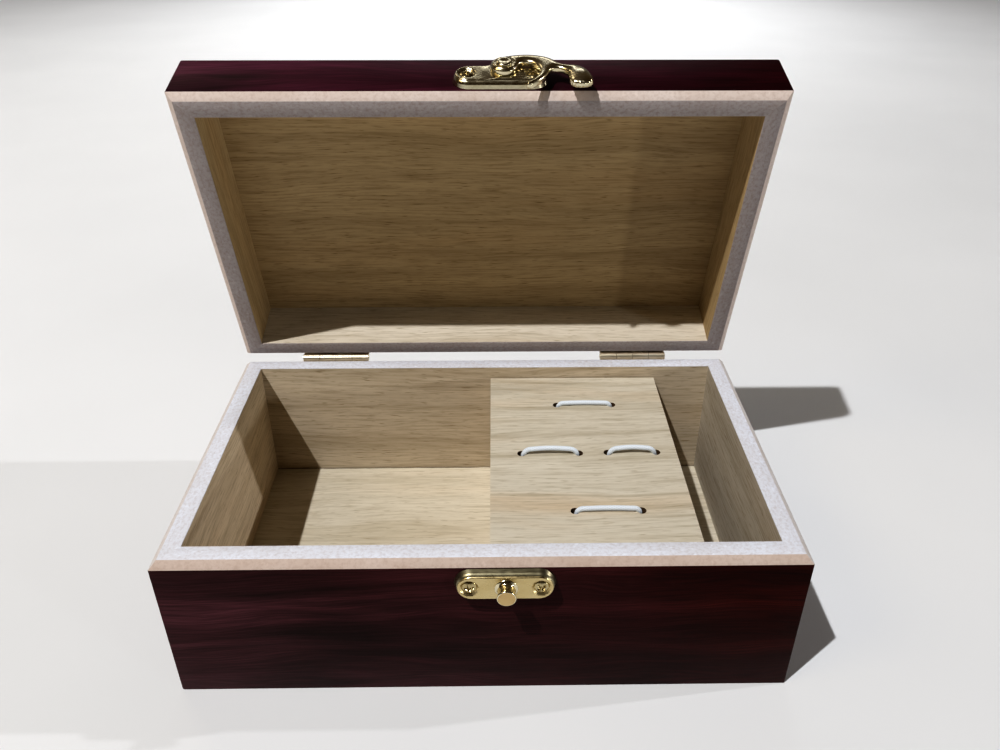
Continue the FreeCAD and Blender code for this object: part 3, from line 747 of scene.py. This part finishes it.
HOOK = [(-4.4, 0), (-3.8, 2.2), (-2.4, 3.8), (-0.2, 4.9), (2.6, 5.7), (5.6, 6.2), (8.6, 6.2), (11.5, 5.6), (14, 4.5), (15.9, 3), (17.2, 1.4), (18.6, 0.3),
        (20.4, -0.1), (22.4, -0.3), (24.3, -1.2), (26, -3.2), (27.3, -5.8), (27.8, -8.6), (27.1, -10.9), (25, -11.8), (22.6, -11.7), (21, -10.6), (20.4, -8.4),
        (20.4, -5.9), (19.9, -4.2), (18.7, -3), (17, -2.3), (15.4, -2.6), (14.3, -3.8), (13.6, -5.8), (12.4, -8.2), (10.8, -10.2), (9.2, -11.6), (7.9, -12.4), (7, -12.2),
        (7.1, -11.2), (8.2, -9.9), (9.6, -8.2), (10.7, -6.2), (11.3, -4.2), (11.3, -2.2), (10.5, -0.3), (9, 1.1), (7.3, 1.8), (5.7, 1.5), (4.7, 0.3), (4.2, -1.3),
        (3.2, -3), (1.6, -4.1), (-0.6, -4.35), (-2.7, -3.5), (-3.9, -2)]
hk = ccw(spline(HOOK, 0.22))
tg = np.roll(hk, -1, 0) - np.roll(hk, 1, 0)
tg /= np.linalg.norm(tg, axis=1)[:, None]
nin_ = np.stack([-tg[:, 1], tg[:, 0]], 1)
lobe = np.array([24.2, -7.0])
rl = np.linalg.norm(hk - lobe, axis=1)
arc = np.cumsum(np.linalg.norm(np.roll(hk, -1, 0) - hk, axis=1))
wgt = np.where((rl < 6.4) & (hk[:, 1] < -5.0) & (hk[:, 0] > 20.0), 1.0, 0.0)
wgt = np.convolve(np.concatenate([wgt[-6:], wgt, wgt[:6]]), np.ones(13) / 13, "valid")
hk = hk + nin_ * (0.16 * wgt * (1 + np.cos(2 * math.pi * arc / 1.25)))[:, None]


def hook_relief(u, v, d):
    h = 0.30 * smooth01(d / 2.2)
    rho = np.hypot((u - 24.1) / 3.7, (v + 6.4) / 5.4)
    h = h + 0.55 * smooth01((1.0 - rho) / 0.9)
    hub = np.hypot(u, v)
    h = h + 0.28 * smooth01((3.9 - hub) / 0.35) - 0.30 * smooth01(d / 2.2) * smooth01((3.6 - hub) / 0.4)
    return h


o = cast("latch_hook_cast", hk, 3.4, 5.5, 0.85, 0.3, [M_BRASS], on_lid(*PV), hook_relief, 0.35)
place(o, "hook", ["latch_hook"])


# CAD nodes that keep their shape
def finish(node, mat):
    ob = NODES[node]
    ob.data.materials.clear()
    ob.data.materials.append(mat)


finish("insert_left_board", M_OAK_LEG)
finish("insert_right_board", M_OAK_LEG)
for nm in NODES:
    if nm.startswith("hinge_") and nm.endswith("_leaf"):
        finish(nm, M_BRASS_HINGE)
    elif nm.endswith("_pin"):
        finish(nm, M_BRASS_HINGE)
    elif nm in ("hinge_base_screws", "hinge_lid_screws"):
        finish(nm, M_BRASS_SCREW)

# ---------------------------------------------------------------------------
# elastic loops
# ---------------------------------------------------------------------------
DECK_TOP, DECK_T, CORD_R, KNOT_R, TAIL, CORD_IN, HOLE_R = 51.0, 3.0, 0.9, 2.3, 6.0, 0.6, 1.55
LOOPS = [
    ("elastic_loop_back", 28.2, 49.7, 31.2, 2.0),
    ("elastic_loop_left", 13.4, 34.1, -0.1, 3.0),
    ("elastic_loop_right", 44.7, 62.2, 0.1, 3.0),
    ("elastic_loop_front", 30.2, 52.2, -31.6, 2.0),
]


def tube(name, pts, r, mats, sides=36, plaits=8, pitch=1.5, amp=0.035):
    """Round cord along points, with plaited relief; UV u counts plaits along, v round."""
    P = [Vector(p) for p in pts]
    L = [0.0]
    for a, b in zip(P, P[1:]):
        L.append(L[-1] + (b - a).length)
    verts, faces, uvs = [], [], []
    tang = [(P[min(i + 1, len(P) - 1)] - P[max(i - 1, 0)]).normalized() for i in range(len(P))]
    nrm = Vector((0, 1, 0))
    nrm = (nrm - tang[0] * nrm.dot(tang[0])).normalized()
    for i, (p, t) in enumerate(zip(P, tang)):
        nrm = (nrm - t * nrm.dot(t)).normalized()
        bi = t.cross(nrm)
        for k in range(sides):
            a = 2 * math.pi * k / sides
            u = L[i] / pitch
            v = plaits * k / sides
            w = max(math.sin(2 * math.pi * (u + v)), math.sin(2 * math.pi * (u - v)))
            rr = r - amp + amp * w
            verts.append(tuple(p + (nrm * math.cos(a) + bi * math.sin(a)) * rr))
    for i in range(len(P) - 1):
        for k in range(sides):
            k2 = (k + 1) % sides
            faces.append((i * sides + k, i * sides + k2, (i + 1) * sides + k2, (i + 1) * sides + k))
            u0, u1 = L[i] / pitch, L[i + 1] / pitch
            v0, v1 = plaits * k / sides, plaits * (k + 1) / sides
            uvs.append([(u0, v0), (u0, v1), (u1, v1), (u1, v0)])
    n0 = len(verts)
    verts.append(tuple(P[0] - tang[0] * r * 0.35)); verts.append(tuple(P[-1] + tang[-1] * r * 0.35))
    for k in range(sides):
        k2 = (k + 1) % sides
        faces.append((n0, k2, k)); uvs.append([(0, 0), (0, 0.1), (0, 0.2)])
        b = (len(P) - 1) * sides
        faces.append((n0 + 1, b + k, b + k2)); uvs.append([(0, 0), (0, 0.1), (0, 0.2)])
    return new_obj(name, verts, faces, mats, None, uvs, [True] * len(faces))


def loop_path(xa, xb, y, r):
    x0, x1 = xa + CORD_IN, xb - CORD_IN
    zu = DECK_TOP - DECK_T
    zt = DECK_TOP - 1.05 + r
    zs = zt - r
    bow = 0.25 if r > 2.5 else 0.04
    pts = []
    zk = zu - 2 * KNOT_R - TAIL
    st = 0.45
    n = int((zs - zk) / st)
    for i in range(n):
        pts.append((x0, y, zk + (zs - zk) * i / n))
    for i in range(13):
        a = math.pi / 2 * i / 12
        pts.append((x0 + r - r * math.cos(a), y, zs + r * math.sin(a)))
    m = int((x1 - x0 - 2 * r) / st)
    for i in range(1, m):
        f = i / m
        pts.append((x0 + r + (x1 - x0 - 2 * r) * f, y + 0.25 * math.sin(math.pi * f), zt + bow * math.sin(math.pi * f)))
    for i in range(13):
        a = math.pi / 2 * (1 - i / 12)
        pts.append((x1 - r + r * math.cos(a), y, zs + r * math.sin(a)))
    for i in range(1, n + 1):
        pts.append((x1, y, zs + (zk - zs) * i / n))
    return pts


def knot_path(x, y, z, r):
    """Overhand knot pulled tight: a small trefoil about the cord."""
    pts = []
    for i in range(73):
        t = 2 * math.pi * i / 72
        pts.append((x + r * 0.36 * (math.sin(t) + 1.6 * math.sin(2 * t)) * 0.62,
                    y + r * 0.36 * (math.cos(t) - 1.6 * math.cos(2 * t)) * 0.62,
                    z - r * 0.62 * math.sin(3 * t) * 0.62))
    return pts


for nm, xa, xb, y, r in LOOPS:
    o = tube(nm + "_cord", loop_path(xa, xb, y, r), CORD_R, [M_ELASTIC])
    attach(o, "insert"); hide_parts(nm)
    for s_, x in (("a", xa + CORD_IN), ("b", xb - CORD_IN)):
        kn = tube(nm + "_knot_" + s_, knot_path(x, y, DECK_TOP - DECK_T - KNOT_R - 0.1, KNOT_R), 0.85, [M_ELASTIC], sides=16)
        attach(kn, "insert")

# deck: drilled hole walls are much darker than the face: painted shade inside the holes
dk = NODES["insert_deck"].data
dk.materials.clear()
dk.materials.append(M_OAK_DECK)
dk.materials.append(M_HOLE_PAINTED_SHADE)
holes = [(x, y) for nm, xa, xb, y, r in LOOPS for x in (xa, xb)]
for poly in dk.polygons:
    c_ = poly.center / MM
    near = min(math.hypot(c_[0] - x, c_[1] - y) for x, y in holes)
    poly.material_index = 1 if (near < HOLE_R + 0.1 and abs(poly.normal[2]) < 0.5) else 0

# ---------------------------------------------------------------------------
# floor, light, camera
# ---------------------------------------------------------------------------
fm = Mat("studio_floor")
fn = fm.noise(fm.obj(), 6.0, 2, 0.5)
fm.set(color=fm.ramp(fn, [(0.3, (0.73, 0.745, 0.765)), (0.7, (0.76, 0.775, 0.795))]), rough=0.9, spec=0.1)
bpy.ops.mesh.primitive_plane_add(size=24.0, location=(0, 0, 0))
floor = bpy.context.object
floor.name = "studio_floor"
floor.data.materials.append(fm.m)

world = bpy.data.worlds.new("studio")
bpy.context.scene.world = world
world.use_nodes = True
wt = world.node_tree
bg = wt.nodes["Background"]
tc = wt.nodes.new("ShaderNodeTexCoord")
sx = wt.nodes.new("ShaderNodeSeparateXYZ")
wt.links.new(tc.outputs["Generated"], sx.inputs[0])
mx = wt.nodes.new("ShaderNodeMath"); mx.operation = "MULTIPLY_ADD"
wt.links.new(sx.outputs[0], mx.inputs[0]); mx.inputs[1].default_value = -0.35
wt.links.new(sx.outputs[1], mx.inputs[2])
wr = wt.nodes.new("ShaderNodeValToRGB")
wt.links.new(mx.outputs[0], wr.inputs[0])
cr = wr.color_ramp
cr.elements[0].position = 0.0; cr.elements[0].color = (0.028, 0.0175, 0.0070, 1)
cr.elements[1].position = 1.0; cr.elements[1].color = (0.15, 0.145, 0.145, 1)
e_ = cr.elements.new(0.45); e_.color = (0.046, 0.030, 0.0125, 1)
wt.links.new(wr.outputs[0], bg.inputs[0])
bg.inputs[1].default_value = 1.0


def aim(o, to):
    d = Vector(to) - o.location
    o.rotation_euler = d.to_track_quat("-Z", "Y").to_euler()


def area(name, loc, to, size, power, color=(1, 1, 1), shape="DISK"):
    l = bpy.data.lights.new(name, "AREA")
    l.energy = power
    l.shape = shape
    l.size = size
    l.color = color
    o = bpy.data.objects.new(name, l)
    o.location = loc
    bpy.context.scene.collection.objects.link(o)
    aim(o, to)
    return o


def sun(name, to_light, strength, angle, color):
    l = bpy.data.lights.new(name, "SUN")
    l.energy = strength
    l.angle = math.radians(angle)
    l.color = color
    o = bpy.data.objects.new(name, l)
    o.location = Vector(to_light).normalized() * 1.5
    o.rotation_euler = (-Vector(to_light)).to_track_quat("-Z", "Y").to_euler()
    bpy.context.scene.collection.objects.link(o)
    return o


area("key", (-0.985, -0.90, 2.5), (0, 0, 0.05), 0.05, 51.0, (0.995, 0.995, 1.0))
area("soft_left", (-1.1, -0.5, 1.3), (0, 0, 0.1), 0.55, 2.0, (1, 0.77, 0.44), "SQUARE")
area("soft_top", (-0.75, 0.95, 1.35), (0, 0, 0.15), 0.45, 1.0, (1, 0.87, 0.66), "SQUARE")
sun("fill_low", (0.80, -0.522, 0.080), 0.37, 3.0, (0.98, 1.0, 1.0))
sun("fill_right", (0.80, 0.104, 0.35), 0.60, 0.8, (1.0, 0.99, 1.0))
wash = area("back_wash", (0.1, 2.0, 1.25), (0.05, 1.35, 0.0), 0.9, 3.2, (1, 1, 1), "SQUARE")
wash.data.spread = math.radians(62.0)

cam = bpy.data.cameras.new("view")
co = bpy.data.objects.new("view", cam)
bpy.context.scene.collection.objects.link(co)
pitch, yaw, roll = math.radians(31.0727), math.radians(-0.74254), math.radians(-0.35306)
right = Vector((1, 0, 0)); fwd = Vector((0, math.cos(pitch), -math.sin(pitch))); up = Vector((0, math.sin(pitch), math.cos(pitch)))
r2 = right * math.cos(yaw) + fwd * math.sin(yaw)
f2 = right * -math.sin(yaw) + fwd * math.cos(yaw)
r3 = r2 * math.cos(roll) + up * math.sin(roll)
u3 = r2 * -math.sin(roll) + up * math.cos(roll)
rot = Matrix((r3, u3, -f2)).transposed().to_4x4()
co.matrix_world = Matrix.Translation(Vector((4.0786, -244.6655, 235.9686)) * MM) @ rot
cam.sensor_fit = "HORIZONTAL"
cam.sensor_width = 36.0
cam.lens = 36.0 * 842.717 / 1000.0
cam.shift_x = (500.0 - 506.205) / 1000.0
cam.shift_y = (364.66 - 375.0) / 1000.0
cam.clip_start = 0.01
cam.clip_end = 50.0
bpy.context.scene.camera = co
bpy.context.scene.view_settings.view_transform = "Standard"
bpy.context.scene.view_settings.look = "High Contrast"
